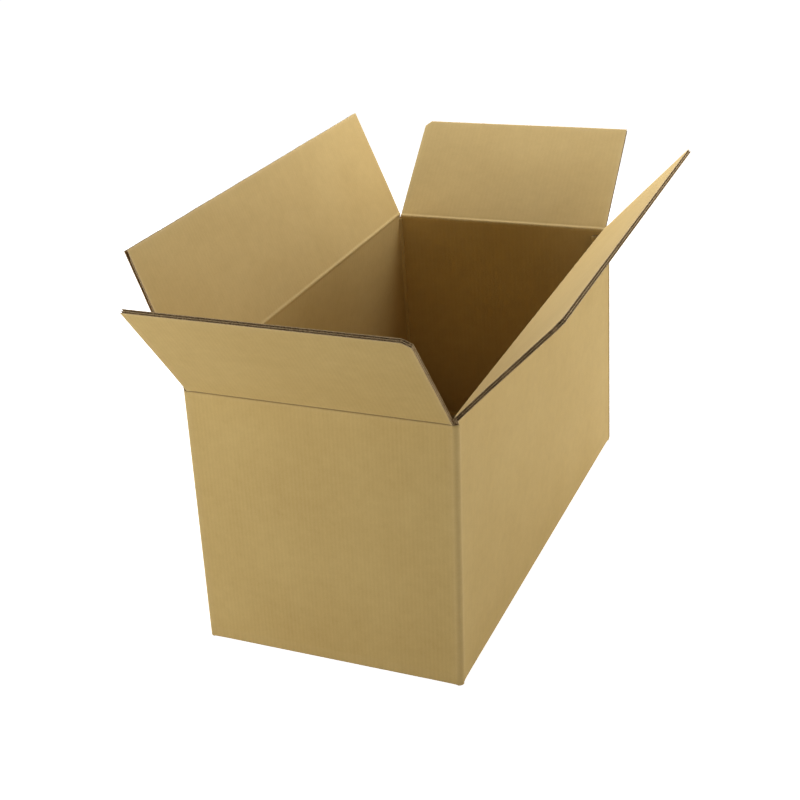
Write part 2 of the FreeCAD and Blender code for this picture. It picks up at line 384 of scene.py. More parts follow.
@dataclass
class TopFlap:
    """One top flap with its crease and the strip of wall below it."""

    side: Side
    lean: float
    low_twist: float = 0.0
    high_twist: float = 0.0
    bow: float = 0.0
    lift: float = 0.0
    longer: float = 0.0
    clip_low: float = 0.0
    clip_high: float = 0.0
    flare_low: float = 0.0
    side_gap: float = 3.0
    seed: int = 1
    zone: float = 7.5
    start_corner: float = field(init=False)
    end_corner: float = field(init=False)

    def __post_init__(self) -> None:
        """Works out where the wall below ends at its two corners."""
        self.start_corner = -self.side.corner
        self.end_corner = SEAM_Y if self.side is Side.RIGHT else self.side.corner

    @property
    def half(self) -> float:
        """Half of the flap's width."""
        return LONG_HALF if self.side.is_long else SHORT_HALF

    @property
    def crease(self) -> float:
        """Height of the line on which the board really folds, a little off the hinge."""
        return self.side.crease + self.lift

    @property
    def name(self) -> str:
        """The name of the flap's body and CAD node."""
        return f"{self.side.value}_flap"

    def reach(self, along: np.ndarray) -> np.ndarray:
        """How far the free edge is from the crease, with the clipped corner taken off and a rough cut."""
        from_low = along + self.half
        from_high = self.half - along
        short = np.maximum(self.clip_low - from_low, self.clip_high - from_high)
        rough = 0.22 * wobble(along, self.seed, 2.6) + 0.25 * wobble(along, self.seed + 50, 60.0)
        return FLAP_DEPTH + self.longer - np.clip(short, 0, None) + rough

    def place(self, along: np.ndarray, up: np.ndarray, turn: np.ndarray, depth: np.ndarray) -> np.ndarray:
        """Puts points of the flat board in space.

        Args:
            along: Place along the crease.
            up: Distance above the crease, which is negative on the wall.
            turn: Share of the lean that the board has made there, from 0 on the wall to 1 on the flap.
            depth: Distance below the outer face.

        Returns:
            The points.
        """
        side = self.side
        share = (along + self.half) / (2 * self.half)
        twist = self.low_twist + (self.high_twist - self.low_twist) * share
        angle = np.radians(self.lean + twist) * turn
        rise = np.clip(up / FLAP_DEPTH, 0, 1)
        dish = self.bow * rise**2 * (1 - (2 * share - 1) ** 2)
        fade = 1 - np.clip(up / 60.0, 0, 1)
        swell = wall_swell(side, along, self.crease + np.minimum(up, 0)) * fade
        outward = up * np.sin(angle) - (depth - dish) * np.cos(angle)
        height = up * np.cos(angle) + (depth - dish) * np.sin(angle)
        face = side.inner + BOARD.thick + swell
        return (
            along[..., None] * side.along
            + (face + outward)[..., None] * side.out
            + (self.crease + height)[..., None] * np.array((0.0, 0.0, 1.0))
        )

    def grid(self) -> tuple[np.ndarray, np.ndarray, np.ndarray]:
        """The columns, the rows' distances from the crease, and the share of the lean at each row."""
        half = self.half
        fine = [0, 0.7, 1.6, 3, 5, 8, 11, 14]
        marks = [-half + k for k in fine] + [half - k for k in fine]
        marks += [self.start_corner, self.end_corner] if self.side.is_long else []
        columns = spread(*marks, step=3.2)
        columns = columns[np.concatenate([[True], np.diff(columns) > 1e-6])]
        slot = SLOT_BOTTOM - self.crease
        join = JOIN_TOP - self.crease
        wall = [join, join + GUARD, -10.0, -8.5, -7.2, slot, -5.0, -4.2, -3.4, -2.6, -1.8, -1.2, -0.6]
        wall = sorted(set(wall + ([-13.0] if self.side.is_long else [])))
        fan = [0.0, 0.0, 0.0, 0.0, 0.0]
        above = [0.6, 1.2, 1.9, 2.8, 4, 5.5, 7, 9, 12, 16, 22, 32]
        above += list(np.linspace(48, 178, 9)) + [186, 191, 195.25, 198, 200.5, 202.5, 204, 205.2, FLAP_DEPTH]
        rows = np.array(wall + fan + above)
        turn = np.concatenate([np.zeros(len(wall)), np.linspace(0, 1, 5), np.ones(len(above))])
        return columns, rows, turn

    def build(self, walls: "Walls") -> bpy.types.Object:
        """Makes the flap's sheet of board.

        Args:
            walls: The ring of walls that it is cut from in one piece.

        Returns:
            The flap with the strip of wall below its crease.
        """
        columns, rows, turn = self.grid()
        along, up = np.meshgrid(columns, rows, indexing="ij")
        turns = np.broadcast_to(turn, along.shape)
        tip = 180.0
        stretched = tip + (up - tip) * (self.reach(along) - tip) / (FLAP_DEPTH - tip)
        up = np.where(up > tip, stretched, up)
        ends = np.abs(along) > self.half - 0.01
        rough = 0.3 * wobble(up, self.seed + 9, 3.1) + 0.3 * wobble(up, self.seed + 11, 1.2)
        cut = along - np.sign(along) * np.where(ends & (up > 0), np.abs(rough), 0.0)
        level = SLOT_BOTTOM - self.crease if self.side.is_long else -999.0
        from_low = along + self.half
        flare = np.clip((up - level) / -level, 0, 1) * np.exp(-np.clip(up, 0, None) / 24.0 - from_low / 7.0)
        cut = cut - self.flare_low * flare
        near = np.exp(-((up / 4.0) ** 2))
        inside = 1 - np.exp(-(((self.half - np.abs(along)) / 5.0) ** 2))
        bulge = -0.4 * np.exp(-(((up + 2.8) / 1.5) ** 2)) - 0.3 * np.exp(-(((up - 3.6) / 1.8) ** 2))
        valley = 1.3 * np.exp(-((up / 1.0) ** 2))
        ripple = 0.14 * wobble(along, self.seed + 21, 9.0) * near
        outer = self.place(cut, up, turns, (bulge + valley) * inside + ripple)
        bead = 0.5 * np.exp(-((up / 1.7) ** 2)) - 0.12 * np.exp(-(((np.abs(up) - 4.4) / 1.3) ** 2))
        inner = self.place(cut, up, turns, BOARD.thick + bead + ripple)
        middle = (columns[1:] + columns[:-1]) / 2
        lows = (rows[1:] + rows[:-1]) / 2
        over = (middle < self.start_corner) | (middle > self.end_corner)
        keep = ~(over[:, None] & (lows < level)[None, :])
        gap = np.zeros(along.shape + (2,))
        lumps = 1 + 0.35 * wobble(up, self.seed + 5, 14.0) + 0.3 * wobble(up, self.seed + 6, 3.0)
        gap[..., 0] = np.where(up > 0.5, self.side_gap * lumps, 0.0)
        gap[..., 1] = np.where(up > 100, BOARD.flute_depth, 0.0)
        edge = np.exp(-np.minimum(self.reach(along) - up, self.half - np.abs(along)) / 3.0)
        edge = np.where(up > -2, edge, 0.0)
        flat = np.stack([walls.flat(self.side, along), up + self.crease], -1)
        sheet = SheetMesh(outer, inner, flat, keep, gap, near, edge)
        made = sheet.build(f"{self.name}_panel")
        return made

    def lines(self) -> list[np.ndarray]:
        """The flap's cut edges as lines of points on the middle of the board."""
        up = np.arange(12.0, FLAP_DEPTH + self.longer - 12, 2.0)
        along = np.arange(-self.half + 3, self.half - 3, 2.0)
        sides = [(np.full_like(up, end), up) for end in (1.0 - self.half, self.half - 1.0)]
        free = (along, self.reach(along))
        made = []
        for places, ups in [*sides, free]:
            for depth in (1.5, 3.1, 5.0):
                made.append(self.place(places, ups, np.ones_like(ups), np.full_like(ups, depth)))
        return made

    def bend(self, piece: bpy.types.Object) -> None:
        """Works out the ends of a bend zone at the crease, which are not used, and bakes the piece's placement
        into its mesh.
        """
        half_turn = math.radians(self.lean) / 2
        way = self.side.out * math.sin(half_turn) + np.array((0, 0, math.cos(half_turn)))
        line = self.side.out * (self.side.inner + BOARD.thick) + np.array((0, 0, self.side.crease))
        start = (line - way * self.zone) * MM
        end = (line + way * self.zone) * MM
        self.name
        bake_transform(piece)


class GeometryTree:
    """A Geometry Nodes group that is built in code, with named inputs."""

    def __init__(self, name: str, inputs: dict[str, tuple[str, float]]) -> None:
        """Makes the group with a geometry in and out and the given number inputs."""
        self.tree = bpy.data.node_groups.new(name, "GeometryNodeTree")
        face = self.tree.interface
        face.new_socket("Geometry", in_out="INPUT", socket_type="NodeSocketGeometry")
        self.ids: dict[str, str] = {}
        for label, (kind, start) in inputs.items():
            made = face.new_socket(label, in_out="INPUT", socket_type=kind)
            made.default_value = start
            self.ids[label] = made.identifier
        face.new_socket("Geometry", in_out="OUTPUT", socket_type="NodeSocketGeometry")
        self.entry = self.tree.nodes.new("NodeGroupInput")
        self.exit = self.tree.nodes.new("NodeGroupOutput")

    def node(self, kind: str, settings: dict[str, Any] | None = None, **links: Any) -> bpy.types.Node:
        """Adds a node.

        Args:
            kind: Its type.
            settings: Its own settings, which are made first.
            links: Values or sockets for its inputs, by name with underscores for spaces, or in_N by place.

        Returns:
            The node.
        """
        made = self.tree.nodes.new(kind)
        for label, value in (settings or {}).items():
            setattr(made, label, value)
        for label, value in links.items():
            if label.startswith("in_"):
                socket = made.inputs[int(label[3:])]
            else:
                socket = made.inputs[label.replace("_", " ")]
            if isinstance(value, bpy.types.NodeSocket):
                self.tree.links.new(value, socket)
            else:
                socket.default_value = value
        return made

    def maths(self, operation: str, first: Any, second: Any = 0.0) -> bpy.types.NodeSocket:
        """Adds one Math node and returns its result."""
        return self.node("ShaderNodeMath", {"operation": operation}, in_0=first, in_1=second).outputs[0]

    def close(self, geometry: bpy.types.NodeSocket, material: bpy.types.Material) -> None:
        """Ends the group with real meshes that carry a material."""
        real = self.node("GeometryNodeRealizeInstances", Geometry=geometry)
        dressed = self.node("GeometryNodeSetMaterial", Geometry=real.outputs[0], Material=material)
        self.tree.links.new(dressed.outputs[0], self.exit.inputs[0])

    def run(self, base: bpy.types.Mesh, values: dict[str, float]) -> bpy.types.Mesh:
        """Runs the group on a mesh with the given inputs and returns the plain mesh that it makes."""
        holder = bpy.data.objects.new("holder", base)
        bpy.context.scene.collection.objects.link(holder)
        modifier = holder.modifiers.new("shape", "NODES")
        modifier.node_group = self.tree
        for label, value in values.items():
            modifier[self.ids[label]] = value
        graph = bpy.context.evaluated_depsgraph_get()
        made = bpy.data.meshes.new_from_object(holder.evaluated_get(graph))
        bpy.data.objects.remove(holder)
        return made


class Fluting:
    """The waved paper between the liners, as it shows at a flap's free edge."""

    def __init__(self, material: bpy.types.Material) -> None:
        """Builds the tree that waves a strip of paper and gives it a thickness."""
        self.material = material
        number = "NodeSocketFloat"
        self.tree = GeometryTree("fluting_strip", {
            "Length": (number, 0.4), "Depth": (number, 0.013), "Pitch": (number, 0.008),
            "Height": (number, 0.0026), "Paper": (number, 0.0003), "Phase": (number, 0.0),
            "Columns": ("NodeSocketInt", 200),
        })
        tree = self.tree
        given = tree.entry.outputs
        strip = tree.node("GeometryNodeMeshGrid", Size_X=given["Length"], Size_Y=given["Depth"],
                          Vertices_X=given["Columns"], Vertices_Y=3)
        spot = tree.node("GeometryNodeInputPosition")
        apart = tree.node("ShaderNodeSeparateXYZ", Vector=spot.outputs[0])
        turns = tree.maths("DIVIDE", apart.outputs[0], given["Pitch"])
        angle = tree.maths("ADD", tree.maths("MULTIPLY", turns, math.tau), given["Phase"])
        wave = tree.maths("SINE", angle)
        sharp = tree.maths("MULTIPLY", wave, tree.maths("SUBTRACT", 1.35, tree.maths(
            "MULTIPLY", 0.35, tree.maths("MULTIPLY", wave, wave))))
        lift = tree.maths("MULTIPLY", sharp, tree.maths("MULTIPLY", given["Height"], 0.5))
        shift = tree.node("ShaderNodeCombineXYZ", Z=lift)
        waved = tree.node("GeometryNodeSetPosition", Geometry=strip.outputs[0], Offset=shift.outputs[0])
        thick = tree.node("GeometryNodeExtrudeMesh", {"mode": "FACES"}, Mesh=waved.outputs[0],
                          Offset_Scale=given["Paper"], Individual=False)
        back = tree.node("GeometryNodeFlipFaces", Mesh=waved.outputs[0])
        both = tree.node("GeometryNodeJoinGeometry")
        tree.tree.links.new(thick.outputs[0], both.inputs[0])
        tree.tree.links.new(back.outputs[0], both.inputs[0])
        welded = tree.node("GeometryNodeMergeByDistance", Geometry=both.outputs[0], Distance=1e-6)
        tree.close(welded.outputs[0], material)

    def strips(self, flap: TopFlap) -> bpy.types.Object:
        """Makes the two waved layers of one flap's free edge.

        Args:
            flap: The flap that they belong to.

        Returns:
            One piece with both layers.
        """
        points: list[np.ndarray] = []
        faces: list[list[int]] = []
        length = 2 * flap.half - 5.0
        for layer, (_, start, end, pitch) in enumerate(BOARD.layers):
            paper = 0.24
            values = {
                "Length": length * MM, "Depth": BOARD.flute_depth * MM, "Pitch": pitch * MM,
                "Height": (end - start - paper) * MM, "Paper": paper * MM,
                "Phase": 1.3 * flap.seed + 2.1 * layer, "Columns": int(length / pitch * 10),
            }
            mesh = self.tree.run(bpy.data.meshes.new("seed"), values)
            count = sum(len(p) for p in points)
            spots = np.zeros(len(mesh.vertices) * 3)
            mesh.vertices.foreach_get("co", spots)
            spots = spots.reshape(-1, 3) / MM
            along = spots[:, 0]
            inset = BOARD.flute_depth / 2 - spots[:, 1]
            depth = (start + end - paper) / 2 + spots[:, 2] + 0.1
            ragged = 0.35 + 0.3 * wobble(along, flap.seed + 31 + layer, 5.0)
            up = flap.reach(along) - ragged - inset * (BOARD.flute_depth - 1.2) / BOARD.flute_depth
            points.append(flap.place(along, up, np.ones_like(along), depth))
            faces.extend([count + v for v in p.vertices] for p in mesh.polygons)
            bpy.data.meshes.remove(mesh)
        joined = bpy.data.meshes.new(f"{flap.name}_fluting")
        joined.from_pydata((np.concatenate(points) * MM).tolist(), [], faces)
        joined.materials.append(self.material)
        joined.shade_smooth()
        made = bpy.data.objects.new(joined.name, joined)
        bpy.context.scene.collection.objects.link(made)
        return made


class Fibres:
    """Torn paper fibres along the cut edges."""

    def __init__(self, material: bpy.types.Material) -> None:
        """Builds the tree that puts small curled flakes along lines."""
        self.material = material
        number = "NodeSocketFloat"
        self.tree = GeometryTree("torn_fibres", {
            "Spacing": (number, 0.002), "Size": (number, 0.0015), "Seed": ("NodeSocketInt", 1),
        })
        tree = self.tree
        given = tree.entry.outputs
        line = tree.node("GeometryNodeMeshToCurve", Mesh=given["Geometry"])
        points = tree.node("GeometryNodeCurveToPoints", {"mode": "LENGTH"}, Curve=line.outputs[0],
                           Length=given["Spacing"])
        jitter = tree.node("FunctionNodeRandomValue", {"data_type": "FLOAT_VECTOR"},
                           in_0=(-0.0004, -0.0004, -0.0004), in_1=(0.0004, 0.0004, 0.0004),
                           Seed=given["Seed"])
        moved = tree.node("GeometryNodeSetPosition", Geometry=points.outputs[0], Offset=jitter.outputs[0])
        flake = tree.node("GeometryNodeMeshGrid", Size_X=0.4, Size_Y=1.0, Vertices_X=2, Vertices_Y=4)
        spot = tree.node("GeometryNodeInputPosition")
        apart = tree.node("ShaderNodeSeparateXYZ", Vector=spot.outputs[0])
        curl = tree.maths("MULTIPLY", tree.maths("MULTIPLY", apart.outputs[1], apart.outputs[1]), 0.9)
        taper = tree.maths("MULTIPLY", apart.outputs[0], tree.maths("MULTIPLY", apart.outputs[1], -0.9))
        bent = tree.node("GeometryNodeSetPosition", Geometry=flake.outputs[0],
                         Offset=tree.node("ShaderNodeCombineXYZ", X=taper, Z=curl).outputs[0])
        thick = tree.node("GeometryNodeExtrudeMesh", {"mode": "FACES"}, Mesh=bent.outputs[0],
                          Offset_Scale=0.06, Individual=False)
        back = tree.node("GeometryNodeFlipFaces", Mesh=bent.outputs[0])
        both = tree.node("GeometryNodeJoinGeometry")
        tree.tree.links.new(thick.outputs[0], both.inputs[0])
        tree.tree.links.new(back.outputs[0], both.inputs[0])
        turn = tree.node("FunctionNodeRandomValue", {"data_type": "FLOAT_VECTOR"},
                         in_0=(-3.1, -3.1, -3.1), in_1=(3.1, 3.1, 3.1), Seed=given["Seed"])
        grow = tree.node("FunctionNodeRandomValue", {"data_type": "FLOAT"}, in_2=0.35, in_3=1.3,
                         Seed=given["Seed"])
        size = tree.maths("MULTIPLY", grow.outputs[1], given["Size"])
        placed = tree.node("GeometryNodeInstanceOnPoints", Points=moved.outputs[0],
                           Instance=both.outputs[0], Rotation=turn.outputs[0], Scale=size)
        tree.close(placed.outputs[0], material)

    def along(self, name: str, lines: list[np.ndarray], spacing: float, size: float,
              seed: int) -> bpy.types.Object:
        """Makes the fibres along some lines.

        Args:
            name: The piece's name.
            lines: The cut edges.
            spacing: Distance between fibres.
            size: Length of a fibre.
            seed: Seed of the random turns.

        Returns:
            One piece with all the fibres.
        """
        points = np.concatenate(lines) * MM
        links = []
        count = 0
        for line in lines:
            links.extend((count + k, count + k + 1) for k in range(len(line) - 1))
            count += len(line)
        base = bpy.data.meshes.new(f"{name}_lines")
        base.from_pydata(points.tolist(), links, [])
        mesh = self.tree.run(base, {"Spacing": spacing * MM, "Size": size * MM, "Seed": seed})
        mesh.name = name
        mesh.materials.clear()
        mesh.materials.append(self.material)
        mesh.polygons.foreach_set("material_index", [0] * len(mesh.polygons))
        made = bpy.data.objects.new(name, mesh)
        bpy.context.scene.collection.objects.link(made)
        return made


@dataclass
class Walls:
    """The folded ring of four walls, with the glue lap inside its seam."""

    bead: float = 2.5
    lap_width: float = 24.0
    lap_board: float = 4.5
    turn_step: float = 1.7

    def stations(self) -> dict[str, np.ndarray]:
        """The ring's columns, from the glue lap's free edge round to the back wall's cut edge.

        Returns:
            Outer and inner plan points, place along the flat board, side number and width place.
        """
        outer: list[tuple[float, float]] = []
        inner: list[tuple[float, float]] = []
        kind: list[str] = []
        place: list[float] = []
        at = 5000.0
        spots: list[float] = []

        def add(out: np.ndarray, into: np.ndarray, label: str, along: float, step: float) -> None:
            """Adds one column."""
            nonlocal at
            at += step
            outer.append((out[0], out[1]))
            inner.append((into[0], into[1]))
            kind.append(label)
            place.append(along)
            spots.append(at)

        top = SEAM_Y + self.lap_board
        for x in spread(INNER_X - self.lap_width, INNER_X - 6.0, step=6.0):
            step = 0.0 if not spots else 6.0
            add(np.array((x, top)), np.array((x, SEAM_Y)), "lap", x, step)
        self.fan(add, np.array((INNER_X, SEAM_Y)), Side.BACK, Side.RIGHT, self.lap_board, BOARD.thick)
        self.wall(add, Side.RIGHT, SEAM_Y, -INNER_Y)
        self.fan(add, np.array((INNER_X, -INNER_Y)), Side.RIGHT, Side.FRONT, BOARD.thick, BOARD.thick)
        self.wall(add, Side.FRONT, INNER_X, -INNER_X)
        self.fan(add, np.array((-INNER_X, -INNER_Y)), Side.FRONT, Side.LEFT, BOARD.thick, BOARD.thick)
        self.wall(add, Side.LEFT, -INNER_Y, INNER_Y)
        self.fan(add, np.array((-INNER_X, INNER_Y)), Side.LEFT, Side.BACK, BOARD.thick, BOARD.thick)
        self.wall(add, Side.BACK, -INNER_X, INNER_X + BOARD.thick)
        return {
            "outer": np.array(outer), "inner": np.array(inner), "kind": np.array(kind),
            "place": np.array(place), "spot": np.array(spots),
        }

    def flat(self, side: Side, along: np.ndarray) -> np.ndarray:
        """Where places along a wall lie on the flat board, also a little past the wall's ends."""
        found = self.stations()
        columns = np.nonzero(found["kind"] == side.value)[0]
        first, last = columns[0], columns[-1]
        start, end = found["place"][first], found["place"][last]
        rate = (found["spot"][last] - found["spot"][first]) / (end - start)
        return found["spot"][first] + (along - start) * rate

    def wall(self, add: Callable[..., None], side: Side, start: float, end: float) -> None:
        """Adds the columns of one flat wall, between its two corners."""
        way = math.copysign(1.0, end - start)
        length = abs(end - start)
        close = [0.0, 0.5, 2.2, 3.4, 4.8, 8.0, 11.0, 15.0]
        far = [length - k for k in close]
        ends = side is Side.BACK
        if ends:
            far = [length - k for k in (0.0, 0.8, 2.5, 5.0, 7.0, 11.0, 15.0)]
        marks = spread(*close, *far, step=11.0)
        marks = marks[np.concatenate([[True], np.diff(marks) > 1e-6])]
        last = None
        for mark in marks:
            along = start + way * mark
            out = side.inner + BOARD.thick
            inside = along
            if mark < 0.01:
                inside = start + way * self.bead
            elif mark < 0.6:
                inside = start + way * (self.bead + 0.1)
            elif not ends and mark > length - 0.01:
                inside = end - way * self.bead
            elif not ends and mark > length - 0.6:
                inside = end - way * (self.bead + 0.1)
            groove = 0.8 if min(abs(mark - 3.4), abs(length - mark - 3.4)) < 0.01 else 0.0
            outer = side.along[:2] * along + side.out[:2] * out
            inner = side.along[:2] * inside + side.out[:2] * (side.inner + groove)
            step = self.turn_step if last is None else mark - last
            last = mark
            add(outer, inner, side.value, along, step)

    def fan(self, add: Callable[..., None], centre: np.ndarray, first: Side, second: Side,
            start_board: float, end_board: float) -> None:
        """Adds the columns that turn round one folded corner."""
        one, two = first.out[:2], second.out[:2]
        for share in (0.17, 0.34, 0.5, 0.66, 0.83):
            angle = share * math.pi / 2
            board = start_board + (end_board - start_board) * share
            out = one * math.cos(angle) + two * math.sin(angle)
            into = -(two * math.cos(angle) + one * math.sin(angle)) * self.bead
            add(centre + out * board, centre + into, f"fold_{first.value}_{second.value}", 0.0, self.turn_step)

    def build(self) -> bpy.types.Object:
        """Makes the ring."""
        found = self.stations()
        near = [JOIN_BOTTOM, JOIN_BOTTOM + GUARD, 30, 390, JOIN_TOP - GUARD, JOIN_TOP]
        rows = spread(POST_FOOT, 6.5, 10, 14, *near, 412, SLOT_BOTTOM, step=20.0)
        count = len(found["spot"])
        outer = np.zeros((count, len(rows), 3))
        inner = np.zeros((count, len(rows), 3))
        crease = np.zeros((count, len(rows)))
        edge = np.zeros((count, len(rows)))
        sides = {s.value: s for s in Side}
        for c in range(count):
            label = str(found["kind"][c])
            base_out, base_in = found["outer"][c], found["inner"][c]
            push = np.zeros((len(rows), 2))
            if label in sides:
                side = sides[label]
                swell = wall_swell(side, np.full(len(rows), found["place"][c]), rows)
                push = swell[:, None] * side.out[:2][None, :]
                corner = side.corner - abs(found["place"][c])
                crease[c] = 0.8 * math.exp(-((max(corner, 0) / 5.0) ** 2))
            elif label.startswith("fold"):
                way = base_out - base_in
                push = np.broadcast_to(way / np.linalg.norm(way) * RIDGE, push.shape)
                crease[c] = 0.8
            inner_push = push if label in sides else np.zeros_like(push)
            outer[c, :, :2] = base_out + push
            inner[c, :, :2] = base_in + inner_push
            outer[c, :, 2] = rows
            inner[c, :, 2] = rows
        keep = np.ones((count - 1, len(rows) - 1), bool)
        middles = (rows[1:] + rows[:-1]) / 2
        body = (middles > JOIN_BOTTOM) & (middles < JOIN_TOP)
        for c in range(count - 1):
            first, second = str(found["kind"][c]), str(found["kind"][c + 1])
            if "lap" in (first, second):
                keep[c] = (middles > 14) & (middles < 412)
            elif first == second and first in sides:
                side = sides[first]
                here = (found["outer"][c] + found["outer"][c + 1]) / 2 @ side.along[:2]
                limit = INNER_Y if side.is_long else SHORT_HALF
                if abs(here) < limit:
                    keep[c] = body
        gap = np.zeros((count, len(rows), 2))
        gap[-1, :, 0] = 3.5
        gap[0, :, 0] = 2.5
        gap[..., 1] = np.where((rows > 411)[None, :], 2.0, 0.0)
        edge[-4:] = np.array([0.1, 0.3, 0.6, 1.0])[:, None]
        flat = np.stack(np.meshgrid(found["spot"], rows, indexing="ij"), -1)
        return SheetMesh(outer, inner, flat, keep, gap, crease, edge).build("box_walls")


@dataclass
class FloorFlap:
    """One floor flap, folded in under the walls and glued down."""

    side: Side

    def build(self, walls: Walls) -> bpy.types.Object:
        """Makes the flap with its fold and the strip of wall above it.

        Args:
            walls: The ring of walls that it is cut from in one piece.

        Returns:
            The flap.
        """
        side = self.side
        half = LONG_HALF if side.is_long else SHORT_HALF
        fold = BOARD.thick if side.is_long else 2 * BOARD.thick
        fine = [0, 1.5, 4, 8, 14]
        marks = [-half + k for k in fine] + [half - k for k in fine]
        start, end = -side.corner, self.end_corner
        marks += [start, end] if side.is_long else []
        columns = spread(*marks, step=9.0)
        columns = columns[np.concatenate([[True], np.diff(columns) > 1e-6])]
        wall = [JOIN_BOTTOM, JOIN_BOTTOM - GUARD, 16.0] + ([13.0, 10.0] if side.is_long else []) + [fold]
        angles = np.radians([0, 18, 36, 54, 72, 90])
        across = BOARD.thick * np.cos(angles)
        level = fold - BOARD.thick * np.sin(angles)
        if not side.is_long:
            across = np.array([6.5, 6.6, 6.4, 4.9, 3.0, 2.6])
            level = np.array([13.0, 6.0, 2.6, POST_FOOT, 3.2, 6.4])
        lengths = [0.8, 2, 4, 7, 11, 16, 30, 60, 90, 120, 150, 180, 190, 196, 198.5, 199.75]
        rows = [(z, 0.0, 0.0) for z in wall[:-1]]
        rows += [(fold, a, 0.0) for a in angles]
        rows += [(fold, math.pi / 2, c) for c in lengths]
        table = np.array(rows)
        along, heights = np.meshgrid(columns, table[:, 0], indexing="ij")
        turns = np.broadcast_to(table[:, 1], along.shape)
        runs = np.broadcast_to(table[:, 2], along.shape)

        swell = wall_swell(side, along, heights) * np.cos(turns)
        offsets = np.concatenate([np.full(len(wall) - 1, BOARD.thick), across, np.zeros(len(lengths))])
        drops = np.concatenate([np.zeros(len(wall) - 1), fold - level, np.full(len(lengths), BOARD.thick)])

        def place(share: float) -> np.ndarray:
            """Puts the points of a face in space, which is the inner one at 0 and the outer one at 1."""
            outward = side.inner - runs + share * offsets + swell
            height = heights - share * drops
            return (along[..., None] * side.along + outward[..., None] * side.out
                    + height[..., None] * np.array((0.0, 0.0, 1.0)))

        outer = place(1.0)
        inner = place(0.0)
        middle = (columns[1:] + columns[:-1]) / 2
        over = (middle < start) | (middle > end)
        keep = ~(over[:, None] & (np.arange(len(rows) - 1) < len(wall) - 1)[None, :])
        gap = np.zeros(along.shape + (2,))
        gap[..., 0] = np.where(turns > 1.5, 3.0, 0.0)
        gap[..., 1] = np.where(runs > 100, 3.0, 0.0)
        distance = runs - np.where(turns > 1.5, 0.0, 6.0)
        crease = np.exp(-((distance / 6.0) ** 2))
        edge = np.where(turns > 1.5, np.exp(-np.minimum(half - np.abs(along), 199.75 - runs) / 3.0), 0.0)
        flat = np.stack([walls.flat(side, along), heights - turns * BOARD.thick - runs], -1)
        made = SheetMesh(outer, inner, flat, keep, gap, crease, edge)
        return made.build(f"{side.value}_floor_flap")

    @property
    def end_corner(self) -> float:
        """Where the wall above ends, which is at the glue lap's fold on the right side."""
        return SEAM_Y if self.side is Side.RIGHT else self.side.corner


class Number:
    """A shader number whose sums and products add their Math nodes."""

    def __init__(self, graph: "Graph", socket: bpy.types.NodeSocket) -> None:
        """Wraps a socket of a graph."""
        self.graph = graph
        self.socket = socket

    def maths(self, operation: str, first: Any, second: Any) -> "Number":
        """Adds one Math node."""
        return self.graph.number("ShaderNodeMath", {"operation": operation}, {0: first, 1: second})

    def __add__(self, other: Any) -> "Number":
        """Sum."""
        return self.maths("ADD", self, other)

    def __radd__(self, other: Any) -> "Number":
        """Sum with the number on the right."""
        return self.maths("ADD", other, self)

    def __sub__(self, other: Any) -> "Number":
        """Difference."""
        return self.maths("SUBTRACT", self, other)

    def __rsub__(self, other: Any) -> "Number":
        """Difference with the number on the right."""
        return self.maths("SUBTRACT", other, self)

    def __mul__(self, other: Any) -> "Number":
        """Product."""
        return self.maths("MULTIPLY", self, other)

    def __rmul__(self, other: Any) -> "Number":
        """Product with the number on the right."""
        return self.maths("MULTIPLY", other, self)

    def __truediv__(self, other: Any) -> "Number":
        """Quotient."""
        return self.maths("DIVIDE", self, other)

    def __pow__(self, other: Any) -> "Number":
        """Power."""
        return self.maths("POWER", self, other)

    def sine(self) -> "Number":
        """Sine of the number."""
        return self.maths("SINE", self, 0.0)

    def clamped(self) -> "Number":
        """The number kept between 0 and 1."""
        return self.graph.number("ShaderNodeClamp", {}, {0: self, 1: 0.0, 2: 1.0})


